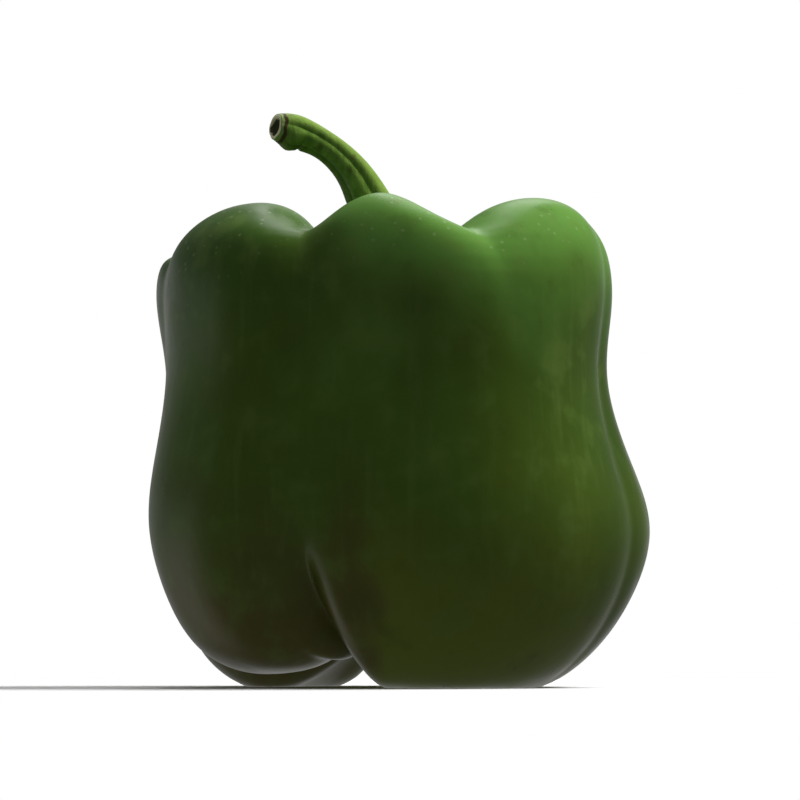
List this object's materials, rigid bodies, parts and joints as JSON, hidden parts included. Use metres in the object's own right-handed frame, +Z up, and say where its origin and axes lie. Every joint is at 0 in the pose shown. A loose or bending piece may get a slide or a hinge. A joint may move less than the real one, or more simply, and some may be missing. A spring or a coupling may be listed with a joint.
{
  "type": "bell pepper",
  "caption": "Blocky green bell pepper with bulging lobes, a sunken crown and a curved, ribbed cut stem.",
  "frame": {"origin": "middle of the underside of the whole pepper's box, on the surface that it stands on", "axes": "+Z up through the stem cavity; -Y towards the broad front, where the stem leans to -X"},
  "size_m": [0.0998, 0.0896, 0.1147],
  "materials": {
    "skin": "waxy gloss",
    "calyx": "satin",
    "stem": "satin"
  },
  "bodies": {
    "root": {"fruit": "skin", "calyx": "calyx", "stem": "stem"}
  },
  "joints": []
}
